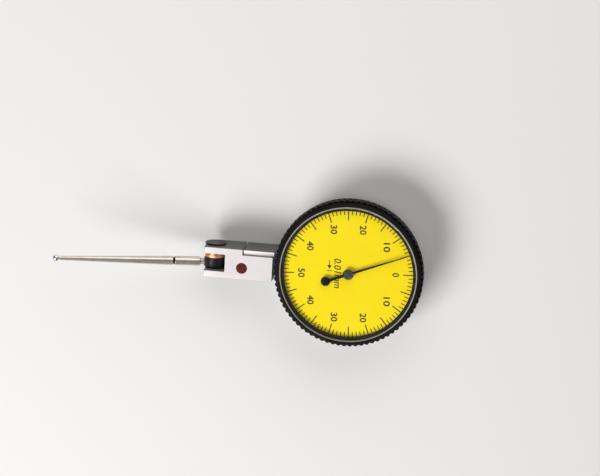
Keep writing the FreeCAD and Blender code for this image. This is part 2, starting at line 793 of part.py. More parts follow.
def crownWheel():
    """A thin web with trapezoid teeth on the face that looks towards +Y."""
    teeth = int(number("crown_teeth"))
    inner = number("crown_inner")
    outer = number("crown_outer")
    root = number("crown_root")
    tip = number("crown_tip")
    foot = number("crown_foot_width * crown_pitch / 2")
    top = number("crown_top_width * crown_pitch / 2")
    sunk = root - number("crown_tooth_sunk")
    web = rod(outer, number("crown_web"), root - number("crown_web"))
    web = web.cut(through(number("crown_arbor")))
    face = Part.Face(Part.makePolygon([
        Vector(inner, -foot, sunk), Vector(inner, foot, sunk),
        Vector(inner, top, tip), Vector(inner, -top, tip), Vector(inner, -foot, sunk)]))
    tooth = face.extrude(Vector(number("crown_face - crown_tooth_short"), 0, 0))
    step = 360 / teeth
    rim = [tooth.rotated(Vector(), Vector(0, 0, 1), 90 + (i + 0.5) * step)
           for i in range(teeth)]
    hole = through(number("crown_hole_radius"))
    hole.translate(Vector(number("crown_hole_circle"), 0, 0))
    holes = int(number("crown_holes"))
    lightening = [hole.rotated(Vector(), Vector(0, 0, 1), 360 * (i + 0.5) / holes)
                  for i in range(holes)]
    return web.multiFuse(rim).cut(Part.makeCompound(lightening))


crownGear = feature("crown_wheel", crownWheel())
crownGear.Placement = Placement(Vector(0, 0, number("axis_z")), uprightTurn)
node("crown_gear", crownGear)

# Centre arbor with its pinion, hairspring and hand
meshBottom = number("axis_z + crown_inner - centre_mesh_spare")
centrePinion = extruded(
    gearOutline(int(number("centre_pinion_teeth")), number("centre_pinion_radius"),
                number("crown_module"), -math.pi / 2, share=0.36),
    number("plate_bottom - centre_plate_play") - meshBottom)
centrePinion.translate(Vector(0, 0, meshBottom))
shoulder = number("finger_z + finger_thick + centre_shoulder_gap")
centreArbor = centrePinion.multiFuse([
    rod(number("centre_pivot"), number("finger_thick + centre_pivot_spare"), number("finger_z")),
    rod(number("centre_arbor"), meshBottom - shoulder, shoulder),
    rod(number("centre_arbor"), number("hub_top - hub_web") - meshBottom, meshBottom)])
node("centre_arbor", feature("centre_arbor_part", centreArbor.removeSplitter()))

node("hairspring_collet", ring(
    "hairspring_collet", "hairspring_inner - collet_rim", "centre_arbor",
    "hairspring_width + 2 * collet_rim", ("0", "0", "plate_top + hairspring_lift - collet_rim")))


def spiral():
    """A flat spiral strip from the collet out to the stud."""
    inner = number("hairspring_inner")
    outer = number("hairspring_outer")
    turns = number("hairspring_turns")
    half = number("hairspring_strip") / 2
    steps = int(turns * 14)
    edges = []
    for side in (-half, half):
        radii = [inner + (outer - inner) * i / steps + side for i in range(steps + 1)]
        edges.append([Vector(r * math.cos(2 * math.pi * turns * i / steps),
                             r * math.sin(2 * math.pi * turns * i / steps), 0)
                      for i, r in enumerate(radii)])
    strip = extruded(edges[0] + edges[1][::-1], number("hairspring_width"))
    return strip.translated(Vector(0, 0, number("plate_top + hairspring_lift")))


node("hairspring", feature("hairspring_strip_part", spiral()))
node("hairspring_stud", cylinder("hairspring_stud", "stud_radius", "stud_height", (
    "hairspring_outer + hairspring_strip / 2 + stud_radius", "0", "plate_top")))


def handBlade():
    """A tapered pointer along +X with a round counterweight on its tail."""
    root = number("hand_tail_width") / 2
    tip = number("hand_tip_width") / 2
    tail = number("tail_length")
    blade = extruded([Vector(-tail, -root, 0), Vector(number("hand_length"), -tip, 0),
                      Vector(number("hand_length"), tip, 0), Vector(-tail, root, 0)],
                     number("hand_thick"))
    weight = rod(number("tail_radius"), number("hand_thick"))
    weight.translate(Vector(-tail, 0, 0))
    boss = rod(number("hand_boss"), number("hand_thick"))
    bore = through(number("centre_arbor + hub_sleeve"))
    return blade.multiFuse([weight, boss]).removeSplitter().cut(bore)


hand = feature("hand_blade", handBlade())
hand.Placement = Placement(Vector(0, 0, number("hand_z")),
                           Rotation(Vector(0, 0, 1), number("hand_angle")))
node("hand", hand)
node("hand_hub", turned("hand_hub", [
    ("centre_arbor", "dial_z + hub_over_dial"),
    ("centre_arbor + hub_sleeve", "dial_z + hub_over_dial"),
    ("centre_arbor + hub_sleeve", "hand_z + hand_thick"),
    ("hub_radius", "hand_z + hand_thick"),
    ("hub_radius", "hub_top - hub_chamfer"),
    ("hub_radius - hub_chamfer", "hub_top"),
    ("0", "hub_top"),
    ("0", "hub_top - hub_web"),
    ("centre_arbor", "hub_top - hub_web"),
]))

# Sector lever: from its pivot in the fork, through the bar, to the crown pinion
sectorTeeth = int(number("sector_teeth"))


def sectorPlate():
    """The lever's blade in its own plane, with the toothed sector at the far end."""
    radius = number("sector_radius")
    arm = number("lever_arm_width") / 2
    hub = number("lever_hub_radius")
    rim = gearOutline(int(number("sector_count")), radius, gearModule, 0, count=sectorTeeth)
    spread = (sectorTeeth / 2 + number("sector_shoulder")) * 2 * math.pi / number("sector_count")
    back = radius - number("sector_rim") * gearModule
    neck = radius - number("sector_neck") * gearModule
    lower = [Vector(number("lever_root_reach"), -number("lever_root_width") / 2, 0),
             Vector(neck, -arm, 0),
             Vector(back * math.cos(spread), -back * math.sin(spread), 0)]
    upper = [Vector(p.x, -p.y, 0) for p in reversed(lower)]
    blade = extruded(lower + rim + upper, number("lever_thick"))
    web = blade.fuse(rod(hub, number("lever_thick"))).removeSplitter()
    return web.cut(through(number("pivot_arbor")))


sector = feature("sector_blade", sectorPlate())
sector.Placement = Placement(
    Vector(number("pivot_x"), number("lever_bottom"), number("axis_z")), uprightTurn)
node("sector_lever", sector)
node("lever_arbor", joined("lever_arbor", [
    cylinder("lever_arbor_middle", "pivot_arbor", "fork_gap - 2 * arbor_shoulder",
             ("pivot_x", "-arm_inside + arbor_shoulder", "axis_z"), "Y"),
    cylinder("lever_arbor_ends", "pivot_end", "fork_gap + 2 * pivot_bush_length",
             ("pivot_x", "-arm_inside - pivot_bush_length", "axis_z"), "Y")]))
node("clutch_washer", ring("clutch_washer", "clutch_radius", "pivot_arbor",
                           "lever_bottom - drum_top - clutch_gap",
                           ("pivot_x", "drum_top + clutch_gap", "axis_z"), "Y"))
node("spring_washer", ring("spring_washer", "spring_radius", "pivot_arbor", "spring_thick",
                           ("pivot_x", "lever_top", "axis_z"), "Y"))
pivotPlaces = {"upper": ("arm_inside", "bar_width / 2"),
               "lower": ("-arm_inside - pivot_bush_length", "-bar_width / 2 - cap_thick")}
for side, (bush, cap) in pivotPlaces.items():
    node("pivot_bush_" + side, ring("pivot_bush_" + side, "pivot_bush",
                                    "pivot_end + running_fit", "pivot_bush_length",
                                    ("pivot_x", bush, "axis_z"), "Y"))
    node("pivot_cap_" + side, cylinder("pivot_cap_" + side, "cap_radius", "cap_thick",
                                       ("pivot_x", cap, "axis_z"), "Y"))
node("bore_seal", cylinder("bore_seal", "seal_radius", "seal_depth",
                           ("seal_x", "seal_y", "body_front - seal_depth")))

# Stylus: its drum grips the lever arbor through the clutch and turns by hand
stylusTurn = Rotation(Vector(0, -1, 0), 90 - number("stylus_rise"))


def alongStylus(piece, start="0"):
    """Stand a piece made along its own Z on the stylus's line, from a start along it."""
    piece.Placement = Placement(Vector(0, 0, 0), stylusTurn)
    piece.setExpression("Placement.Rotation.Angle", formula("90 - stylus_rise"))
    centre = {"x": f"pivot_x - ({start}) * cos(stylus_rise)", "y": "drum_mid",
              "z": f"axis_z + ({start}) * sin(stylus_rise)"}
    for letter, text in centre.items():
        piece.setExpression("Placement.Base." + letter, formula(text))
    return piece


drumBlank = turned("drum_blank", [
    ("pivot_arbor + running_fit", "0"),
    ("drum_radius - drum_chamfer", "0"),
    ("drum_radius", "drum_chamfer"),
    ("drum_radius", "drum_top - drum_bottom - drum_chamfer"),
    ("drum_radius - drum_chamfer", "drum_top - drum_bottom"),
    ("pivot_arbor + running_fit", "drum_top - drum_bottom"),
], ("pivot_x", "drum_bottom", "axis_z"), "Y")
tapping = doc.addObject("Part::Cylinder", "stylus_tapping")
bind(tapping, Radius="stylus_tail_radius", Height="stylus_tail_depth + overrun")
alongStylus(tapping, "stylus_tail_end")
node("stylus_holder", cut("stylus_holder", drumBlank, [tapping]))
node("stylus_shank", alongStylus(turned("stylus_shank", [
    ("0", "stylus_tail_end + stylus_tail_play"),
    ("stylus_tail_radius", "stylus_tail_end + stylus_tail_play"),
    ("stylus_tail_radius", "drum_radius"),
    ("stylus_neck_radius", "drum_radius"),
    ("stylus_neck_radius", "stylus_neck_end"),
    ("stylus_grip_radius", "stylus_neck_end + stylus_grip_chamfer"),
    ("stylus_grip_radius", "stylus_groove_at - stylus_groove_width / 2"),
    ("stylus_grip_radius - stylus_groove_depth", "stylus_groove_at"),
    ("stylus_grip_radius", "stylus_groove_at + stylus_groove_width / 2"),
    ("stylus_point_radius", "ball_seat"),
    ("ball_pin", "ball_seat"),
    ("ball_pin", "ball_pin_end"),
    ("0", "ball_pin_end"),
])))
ballBlank = doc.addObject("Part::Sphere", "ball_blank")
bind(ballBlank, Radius="ball_radius")
ballBlank.setExpression("Placement.Base.z", formula("stylus_length"))
ballFlat = doc.addObject("Part::Cylinder", "ball_flat")
bind(ballFlat, Radius="ball_radius", Height="ball_radius")
ballFlat.setExpression("Placement.Base.z", formula("ball_seat - ball_radius"))
ballBore = doc.addObject("Part::Cylinder", "ball_bore")
bind(ballBore, Radius="ball_pin", Height="ball_radius * 2")
ballBore.setExpression("Placement.Base.z", formula("ball_pin_end - ball_radius * 2"))
node("ball_tip", alongStylus(cut("ball_tip", ballBlank, [ballFlat, ballBore])))

# Recompute, test every object and write each sub-part
doc.recompute()
for thing in doc.Objects:
    if "Invalid" in thing.State or "Error" in thing.State:
        raise RuntimeError(f"{thing.Name} did not compute: {thing.State}")
for piece in nodes:
    if piece.Shape.isNull() or not piece.Shape.isValid():
        raise RuntimeError(f"{piece.Label} has no valid shape")
os.makedirs("parts", exist_ok=True)
for piece in nodes:
    solids = len(piece.Shape.Solids)
    print(f"{piece.Label:20s} {solids} solids {piece.Shape.Volume:10.3f} mm3")
    piece.Shape.exportStep(f"parts/{piece.Label}.step")
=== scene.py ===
import math
import bpy
from mathutils import Matrix, Vector


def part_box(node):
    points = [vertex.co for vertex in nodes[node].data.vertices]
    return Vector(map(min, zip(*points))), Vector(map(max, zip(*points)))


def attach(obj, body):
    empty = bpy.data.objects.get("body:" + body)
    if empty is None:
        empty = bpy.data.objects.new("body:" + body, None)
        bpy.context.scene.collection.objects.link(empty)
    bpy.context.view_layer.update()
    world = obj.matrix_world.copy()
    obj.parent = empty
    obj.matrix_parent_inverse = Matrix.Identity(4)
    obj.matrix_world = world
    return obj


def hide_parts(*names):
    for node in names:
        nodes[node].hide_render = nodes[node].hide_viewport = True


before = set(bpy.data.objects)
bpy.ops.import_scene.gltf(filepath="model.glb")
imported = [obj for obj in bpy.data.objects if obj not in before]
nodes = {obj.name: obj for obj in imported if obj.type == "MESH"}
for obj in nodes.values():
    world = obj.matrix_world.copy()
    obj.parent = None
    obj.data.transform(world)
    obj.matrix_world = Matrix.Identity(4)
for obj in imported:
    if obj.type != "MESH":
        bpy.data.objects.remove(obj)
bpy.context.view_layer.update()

# Looks of a lever test indicator: satin body, black knurled bezel, yellow dial.
# Everything is in metres in the part's own frame. mm() turns millimetres into metres.


def mm(value):
    return value * 0.001


def clearSelection():
    if bpy.context.object and bpy.context.object.mode != "OBJECT":
        bpy.ops.object.mode_set(mode="OBJECT")
    bpy.ops.object.select_all(action="DESELECT")


def pick(piece):
    clearSelection()
    piece.select_set(True)
    bpy.context.view_layer.objects.active = piece


print("stage 1: finishes")


def socketOf(group, name, kind, inOut, value=None):
    socket = group.interface.new_socket(name=name, in_out=inOut, socket_type=kind)
    if value is not None:
        socket.default_value = value
    return socket


def link(tree, source, target):
    tree.links.new(source, target)


# Fine random grain: long scratches along one axis and soft blotches, shared by most finishes
def buildGrainGroup():
    group = bpy.data.node_groups.new("grain", "ShaderNodeTree")
    socketOf(group, "Stretch", "NodeSocketVector", "INPUT", (1.0, 1.0, 1.0))
    socketOf(group, "Scale", "NodeSocketFloat", "INPUT", 4000.0)
    socketOf(group, "Blotch Scale", "NodeSocketFloat", "INPUT", 250.0)
    socketOf(group, "Fine", "NodeSocketFloat", "OUTPUT")
    socketOf(group, "Blotch", "NodeSocketFloat", "OUTPUT")
    enter = group.nodes.new("NodeGroupInput")
    leave = group.nodes.new("NodeGroupOutput")
    place = group.nodes.new("ShaderNodeTexCoord")
    stretch = group.nodes.new("ShaderNodeVectorMath")
    stretch.operation = "MULTIPLY"
    fine = group.nodes.new("ShaderNodeTexNoise")
    fine.inputs["Detail"].default_value = 5.0
    blotch = group.nodes.new("ShaderNodeTexNoise")
    blotch.inputs["Detail"].default_value = 3.0
    link(group, place.outputs["Object"], stretch.inputs[0])
    link(group, enter.outputs["Stretch"], stretch.inputs[1])
    link(group, stretch.outputs[0], fine.inputs["Vector"])
    link(group, enter.outputs["Scale"], fine.inputs["Scale"])
    link(group, place.outputs["Object"], blotch.inputs["Vector"])
    link(group, enter.outputs["Blotch Scale"], blotch.inputs["Scale"])
    link(group, fine.outputs["Fac"], leave.inputs["Fine"])
    link(group, blotch.outputs["Fac"], leave.inputs["Blotch"])
    return group


grainGroup = buildGrainGroup()


def ramp(tree, source, low, high, start=0.3, end=0.7):
    node = tree.nodes.new("ShaderNodeMapRange")
    node.inputs["From Min"].default_value = start
    node.inputs["From Max"].default_value = end
    node.inputs["To Min"].default_value = low
    node.inputs["To Max"].default_value = high
    link(tree, source, node.inputs["Value"])
    return node.outputs["Result"]


def twoTone(tree, source, colorA, colorB):
    node = tree.nodes.new("ShaderNodeMix")
    node.data_type = "RGBA"
    link(tree, source, node.inputs["Factor"])
    node.inputs[6].default_value = (*colorA, 1.0)
    node.inputs[7].default_value = (*colorB, 1.0)
    return node.outputs[2]


# One finish: two close colours, two roughnesses and a fine bump, all driven by the grain
def finish(name, colorA, colorB, rough=(0.3, 0.4), metallic=0.0, stretch=(1, 1, 1),
           scale=4000.0, blotch=250.0, bump=0.0, bumpDepth=0.00001, coat=0.0,
           coatRough=0.1, specular=0.5):
    material = bpy.data.materials.new(name)
    material.use_nodes = True
    tree = material.node_tree
    shader = tree.nodes["Principled BSDF"]
    grain = tree.nodes.new("ShaderNodeGroup")
    grain.node_tree = grainGroup
    grain.inputs["Stretch"].default_value = stretch
    grain.inputs["Scale"].default_value = scale
    grain.inputs["Blotch Scale"].default_value = blotch
    tone = ramp(tree, grain.outputs["Blotch"], 0.0, 1.0)
    link(tree, twoTone(tree, tone, colorA, colorB), shader.inputs["Base Color"])
    link(tree, ramp(tree, grain.outputs["Fine"], rough[0], rough[1]),
         shader.inputs["Roughness"])
    shader.inputs["Metallic"].default_value = metallic
    shader.inputs["Coat Weight"].default_value = coat
    shader.inputs["Coat Roughness"].default_value = coatRough
    shader.inputs["Specular IOR Level"].default_value = specular
    if bump:
        bumps = tree.nodes.new("ShaderNodeBump")
        bumps.inputs["Strength"].default_value = bump
        bumps.inputs["Distance"].default_value = bumpDepth
        link(tree, grain.outputs["Fine"], bumps.inputs["Height"])
        link(tree, bumps.outputs["Normal"], shader.inputs["Normal"])
    return material


finishes = {
    "satinBody": finish("satinBody", (0.60, 0.565, 0.565), (0.65, 0.61, 0.61),
                        (0.48, 0.6), metallic=0.95, stretch=(0.25, 1, 1), scale=5000,
                        bump=0.3, bumpDepth=0.000004),
    "bezelBlack": finish("bezelBlack", (0.003, 0.003, 0.0035), (0.007, 0.007, 0.008),
                         (0.4, 0.52), scale=6000, specular=0.1, bump=0.1,
                         bumpDepth=0.000005),
    "dialYellow": finish("dialYellow", (0.975, 0.745, 0.0), (0.99, 0.775, 0.002),
                         (0.5, 0.6), scale=9000, blotch=120, specular=0.08),
    "dialInk": finish("dialInk", (0.004, 0.004, 0.003), (0.008, 0.007, 0.005), (0.5, 0.6),
                      scale=9000, specular=0.15),
    "blackPlastic": finish("blackPlastic", (0.003, 0.003, 0.003), (0.006, 0.006, 0.006),
                           (0.5, 0.65), scale=5000, specular=0.1, bump=0.1),
    # The gasket's cream colour is a painted highlight: it stands for the pale lit edge around
    # the crystal
    "gasketPaintedHighlight": finish("gasketPaintedHighlight", (0.32, 0.29, 0.21), (0.42, 0.38, 0.29),
                         (0.35, 0.5), scale=3000, blotch=700, bump=0.1),
    "brass": finish("brass", (0.70, 0.50, 0.22), (0.80, 0.60, 0.30), (0.2, 0.35),
                    metallic=1.0, stretch=(0.3, 1, 1), scale=6000, bump=0.15),
    "turnedSteel": finish("turnedSteel", (0.60, 0.59, 0.58), (0.68, 0.67, 0.66),
                          (0.2, 0.32), metallic=1.0, scale=6000, bump=0.1),
    "bluedSpring": finish("bluedSpring", (0.10, 0.13, 0.25), (0.16, 0.2, 0.36),
                          (0.2, 0.3), metallic=1.0, scale=6000),
    "ruby": finish("ruby", (0.45, 0.01, 0.04), (0.6, 0.03, 0.08), (0.05, 0.1), scale=3000,
                   coat=0.6, coatRough=0.03),
    "handBlack": finish("handBlack", (0.0015, 0.0015, 0.0015), (0.003, 0.003, 0.003),
                        (0.5, 0.65), scale=9000, specular=0.05),
    "hubGrey": finish("hubGrey", (0.03, 0.029, 0.03), (0.10, 0.098, 0.1), (0.28, 0.4),
                      metallic=1.0, scale=9000, blotch=2500),
    "copperWasher": finish("copperWasher", (0.72, 0.31, 0.18), (0.86, 0.45, 0.30),
                           (0.42, 0.56), metallic=1.0, stretch=(1, 6, 1), scale=3000,
                           blotch=900, bump=0.2),
    "blackSteel": finish("blackSteel", (0.006, 0.006, 0.007), (0.02, 0.02, 0.022),
                         (0.28, 0.45), scale=5000, blotch=900, specular=0.25, bump=0.2),
    "redSeal": finish("redSeal", (0.012, 0.0008, 0.001), (0.2, 0.005, 0.01), (0.25, 0.45),
                      scale=2600, blotch=1500, specular=0.25, bump=0.5,
                      bumpDepth=0.00002),
    "stylusNickel": finish("stylusNickel", (0.62, 0.56, 0.49), (0.74, 0.67, 0.59),
                           (0.26, 0.38), metallic=1.0, stretch=(0.15, 1, 1), scale=4500,
                           blotch=400, bump=0.2),
    "mirrorBall": finish("mirrorBall", (0.86, 0.86, 0.87), (0.9, 0.9, 0.9), (0.02, 0.05),
                         metallic=1.0, scale=3000),
}


crystalLook = {"color": (1.0, 1.0, 0.99), "roughness": 0.015, "ior": 1.4}


# Clear crystal: shadow and diffuse rays pass straight through, so the dial below is lit
# as in air
def buildCrystalFinish():
    material = bpy.data.materials.new("clearCrystal")
    material.use_nodes = True
    tree = material.node_tree
    shader = tree.nodes["Principled BSDF"]
    shader.inputs["Base Color"].default_value = (*crystalLook["color"], 1.0)
    shader.inputs["Roughness"].default_value = crystalLook["roughness"]
    shader.inputs["IOR"].default_value = crystalLook["ior"]
    shader.inputs["Transmission Weight"].default_value = 1.0
    rays = tree.nodes.new("ShaderNodeLightPath")
    clear = tree.nodes.new("ShaderNodeBsdfTransparent")
    blend = tree.nodes.new("ShaderNodeMixShader")
    either = tree.nodes.new("ShaderNodeMath")
    either.operation = "MAXIMUM"
    link(tree, rays.outputs["Is Shadow Ray"], either.inputs[0])
    link(tree, rays.outputs["Is Diffuse Ray"], either.inputs[1])
    link(tree, either.outputs[0], blend.inputs["Fac"])
    link(tree, shader.outputs["BSDF"], blend.inputs[1])
    link(tree, clear.outputs["BSDF"], blend.inputs[2])
    link(tree, blend.outputs["Shader"], tree.nodes["Material Output"].inputs["Surface"])
    return material


finishes["clearCrystal"] = buildCrystalFinish()


def recolor(material, mask, color):
    tree = material.node_tree
    base = tree.nodes["Principled BSDF"].inputs["Base Color"]
    before = base.links[0].from_socket
    mix = tree.nodes.new("ShaderNodeMix")
    mix.data_type = "RGBA"
    mix.inputs[7].default_value = (*color, 1.0)
    link(tree, mask, mix.inputs["Factor"])
    link(tree, before, mix.inputs[6])
    link(tree, mix.outputs[2], base)


# Painted shade on the hub's chamfered rim, which is made darker than its top: a step in the
# distance from the hand's axis
rimShadePlan = {"radius": 1.2, "fade": 0.03, "color": (0.035, 0.034, 0.034)}


def addDarkRim(material):
    tree = material.node_tree
    place = tree.nodes.new("ShaderNodeTexCoord")
    flat = tree.nodes.new("ShaderNodeVectorMath")
    flat.operation = "MULTIPLY"
    flat.inputs[1].default_value = (1, 1, 0)
    length = tree.nodes.new("ShaderNodeVectorMath")
    length.operation = "LENGTH"
    link(tree, place.outputs["Object"], flat.inputs[0])
    link(tree, flat.outputs[0], length.inputs[0])
    mask = ramp(tree, length.outputs["Value"], 0.0, 1.0,
                mm(rimShadePlan["radius"] - rimShadePlan["fade"]),
                mm(rimShadePlan["radius"] + rimShadePlan["fade"]))
    recolor(material, mask, rimShadePlan["color"])


# Painted shade on the bar's two long sides, darker than its face: a step in Y, only ahead of
# the case
sideShadePlan = {
    "fadeStart": 3.94, "fadeEnd": 3.99, "caseFront": -18.6, "caseFade": 0.1,
    "color": (0.21, 0.20, 0.197),
}


def addGroundSides(material):
    tree = material.node_tree
    place = tree.nodes.new("ShaderNodeTexCoord")
    split = tree.nodes.new("ShaderNodeSeparateXYZ")
    away = tree.nodes.new("ShaderNodeMath")
    away.operation = "ABSOLUTE"
    both = tree.nodes.new("ShaderNodeMath")
    both.operation = "MULTIPLY"
    link(tree, place.outputs["Object"], split.inputs["Vector"])
    link(tree, split.outputs["Y"], away.inputs[0])
    side = ramp(tree, away.outputs[0], 0.0, 1.0, mm(sideShadePlan["fadeStart"]),
                mm(sideShadePlan["fadeEnd"]))
    ahead = ramp(tree, split.outputs["X"], 1.0, 0.0,
                 mm(sideShadePlan["caseFront"] - sideShadePlan["caseFade"]),
                 mm(sideShadePlan["caseFront"] + sideShadePlan["caseFade"]))
    link(tree, side, both.inputs[0])
    link(tree, ahead, both.inputs[1])
    recolor(material, both.outputs[0], sideShadePlan["color"])


# Painted shade in the turned groove near the stylus's grip, which is kept dark: a step in the
# distance from it, measured along the stylus from its pivot
grooveShadePlan = {
    "pivot": (-36.0, 0, 6.3), "rise": 14.3, "at": 10.97, "width": 0.6, "fade": 0.1,
    "color": (0.04, 0.034, 0.03),
}


def addDarkGroove(material):
    tree = material.node_tree
    rise = math.radians(grooveShadePlan["rise"])
    axis = Vector((-math.cos(rise), 0, math.sin(rise)))
    start = axis.dot(Vector(grooveShadePlan["pivot"])) + grooveShadePlan["at"]
    place = tree.nodes.new("ShaderNodeTexCoord")
    along = tree.nodes.new("ShaderNodeVectorMath")
    along.operation = "DOT_PRODUCT"
    along.inputs[1].default_value = axis
    offset = tree.nodes.new("ShaderNodeMath")
    offset.operation = "SUBTRACT"
    offset.inputs[1].default_value = mm(start)
    away = tree.nodes.new("ShaderNodeMath")
    away.operation = "ABSOLUTE"
    link(tree, place.outputs["Object"], along.inputs[0])
    link(tree, along.outputs["Value"], offset.inputs[0])
    link(tree, offset.outputs[0], away.inputs[0])
    half = mm(grooveShadePlan["width"]) / 2
    mask = ramp(tree, away.outputs[0], 1.0, 0.0, half - mm(grooveShadePlan["fade"]), half)
    recolor(material, mask, grooveShadePlan["color"])


addDarkGroove(finishes["stylusNickel"])
addDarkRim(finishes["hubGrey"])
addGroundSides(finishes["satinBody"])


def coat(piece, finishName):
    piece.data.materials.clear()
    piece.data.materials.append(finishes[finishName])


print("stage 2: pieces taken from the frame")

# Lengths here are in millimetres, angles in degrees
dressing = {
    "joinGap": 0.0004, "flatAngle": 0.6, "sharpAngle": 32, "edgeSteps": 2,
}
workScale = 1000


# A dressed copy of a CAD node: its flat faces joined, its sharp edges eased and its round
# faces shaded smooth. The node itself stays untouched and hidden. The copy is worked on a
# thousand times larger, where joined faces with a hole keep their shape.
def dress(nodeName, pieceName, body, finishName, ease):
    sharp = math.radians(dressing["sharpAngle"])
    source = nodes[nodeName]
    piece = bpy.data.objects.new(pieceName, source.data.copy())
    piece.data.transform(Matrix.Scale(workScale, 4))
    bpy.context.scene.collection.objects.link(piece)
    pick(piece)
    bpy.ops.object.mode_set(mode="EDIT")
    bpy.ops.mesh.select_all(action="SELECT")
    bpy.ops.mesh.remove_doubles(threshold=dressing["joinGap"])
    bpy.ops.mesh.dissolve_limited(angle_limit=math.radians(dressing["flatAngle"]))
    bpy.ops.object.mode_set(mode="OBJECT")
    bpy.ops.mesh.customdata_custom_splitnormals_clear()
    bpy.ops.object.shade_smooth_by_angle(angle=sharp)
    if ease:
        bevel = piece.modifiers.new("easedEdges", "BEVEL")
        bevel.width = ease
        bevel.segments = dressing["edgeSteps"]
        bevel.limit_method = "ANGLE"
        bevel.angle_limit = sharp
        bevel.harden_normals = True
        bpy.ops.object.modifier_apply(modifier=bevel.name)
    triangles = piece.modifiers.new("triangles", "TRIANGULATE")
    triangles.keep_custom_normals = True
    bpy.ops.object.modifier_apply(modifier=triangles.name)
    piece.data.transform(Matrix.Scale(1 / workScale, 4))
    coat(piece, finishName)
    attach(piece, body)
    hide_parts(nodeName)
    return piece


# CAD node: piece, body, finish, slot, width of the eased edges
dressed = {
    "frame_body": ("bodyCasting", "root", "satinBody", "satin_chrome", 0.12),
    "pivot_cap_upper": ("pivotCapUpper", "root", "blackSteel", "black_steel", 0.15),
    "pivot_cap_lower": ("pivotCapLower", "root", "blackSteel", "black_steel", 0.15),
    "bore_seal": ("boreSeal", "root", "redSeal", "red_seal", 0.08),
    "bezel_ring": ("bezelRing", "bezel", "bezelBlack", "black_bezel", 0.07),
    "dial_spacer": ("dialSpacer", "bezel", "blackPlastic", "black_plastic", 0.0),
    # the gasket's cream finish is a painted highlight ring
    "crystal_gasket": ("crystalGasket", "bezel", "gasketPaintedHighlight", "cream_nylon", 0.05),
    "case_skirt": ("caseSkirt", "root", "bezelBlack", "black_bezel", 0.1),
    "hand_hub": ("handHub", "hand", "hubGrey", "hub_grey", 0.0),
    "clutch_washer": ("clutchWasher", "lever", "copperWasher", "copper", 0.1),
    "spring_washer": ("springWasher", "lever", "turnedSteel", "spring_steel", 0.03),
    "stylus_holder": ("stylusDrum", "stylus", "blackSteel", "black_steel", 0.08),
    "stylus_shank": ("stylusShank", "stylus", "stylusNickel", "stylus_metal", 0.04),
    "ball_tip": ("stylusBall", "stylus", "mirrorBall", "polished_ball", 0.0),
}
for nodeName, (pieceName, body, finishName, slotName, ease) in dressed.items():
    dress(nodeName, pieceName, body, finishName, ease)

# Nodes that keep their own mesh: node and finish
plain = {
    "dial_plate": "dialYellow", "centre_arbor": "turnedSteel", "hairspring_collet": "brass",
    "hairspring": "bluedSpring", "hairspring_stud": "brass",
    "movement_plate": "brass", "plate_screws": "turnedSteel", "post_screws": "turnedSteel",
    "finger_post": "brass", "plain_post": "brass", "crown_gear": "brass",
    "crown_arbor": "turnedSteel", "crown_bushes": "ruby", "centre_bush": "ruby",
    "sector_lever": "brass", "lever_arbor": "turnedSteel", "pivot_bush_upper": "brass",
    "pivot_bush_lower": "brass", "bezel_snap_ring": "turnedSteel",
}
for nodeName, finishName in plain.items():
    coat(nodes[nodeName], finishName)

print("stage 3: dial printing")

# Printed marks stand a hair above the paint. Angles are measured from the zero mark.
dialPrint = {
    "divisions": 100, "longEvery": 5, "outer": 16.98, "longMark": 2.65, "shortMark": 1.2,
    "longWidth": 0.28, "shortWidth": 0.23, "inkThick": 0.012, "zeroTurned": 3.4,
    "numberCount": 10, "numberRadius": 12.4, "numberHeight": 1.75, "numberWidth": 2.45,
    "zeroWidth": 1.078, "numberWeight": 0.045, "capHeight": 0.7, "curveSteps": 4,
    "joinGap": 0.0005,
    "unitText": "0.01mm", "unitDrop": 2.85, "unitSize": (8.0, 1.85), "unitWeight": 0.03,
    "unitSlant": 0.2,
    "arrow": {"drop": 5.0, "left": 1.9, "shaft": 1.3, "shaftFrom": 0.272,
              "stroke": 0.17, "head": 0.68, "gap": 1.15, "wall": 1.5},
}
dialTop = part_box("dial_plate")[1].z
division = 360 / dialPrint["divisions"]


# From the dial's own axes, +Y towards zero, to the part's
def dialMatrix(turn=0.0):
    return Matrix.Rotation(math.radians(dialPrint["zeroTurned"] - 90 + turn), 4, "Z")


# A thin printed bar that hangs down from its own origin
def bar(name, length, width, thick):
    bpy.ops.mesh.primitive_cube_add(size=1)
    piece = bpy.context.object
    piece.name = name
    piece.data.transform(Matrix.Diagonal((mm(width), mm(length), mm(thick), 1)))
    piece.data.transform(Matrix.Translation((0, -mm(length) / 2, mm(thick) / 2)))
    return piece


def joinAs(name, pieces):
    clearSelection()
    for piece in pieces:
        piece.select_set(True)
    bpy.context.view_layer.objects.active = pieces[0]
    bpy.ops.object.join()
    pieces[0].name = name
    return pieces[0]


def copyTurned(template, matrix):
    twin = template.copy()
    twin.data = template.data.copy()
    bpy.context.scene.collection.objects.link(twin)
    twin.data.transform(matrix)
    return twin


def onDial(piece):
    coat(piece, "dialInk")
    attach(piece, "bezel")
    return piece


def makeTicks():
    clearSelection()
    ticks = []
    longBar = bar("longBar", dialPrint["longMark"], dialPrint["longWidth"],
                  dialPrint["inkThick"])
    shortBar = bar("shortBar", dialPrint["shortMark"], dialPrint["shortWidth"],
                   dialPrint["inkThick"])
    for i in range(dialPrint["divisions"]):
        template = shortBar if i % dialPrint["longEvery"] else longBar
        outward = Matrix.Translation((0, mm(dialPrint["outer"]), dialTop))
        ticks.append(copyTurned(template, dialMatrix(i * division) @ outward))
    bpy.data.objects.remove(longBar)
    bpy.data.objects.remove(shortBar)
    return onDial(joinAs("dialTicks", ticks))


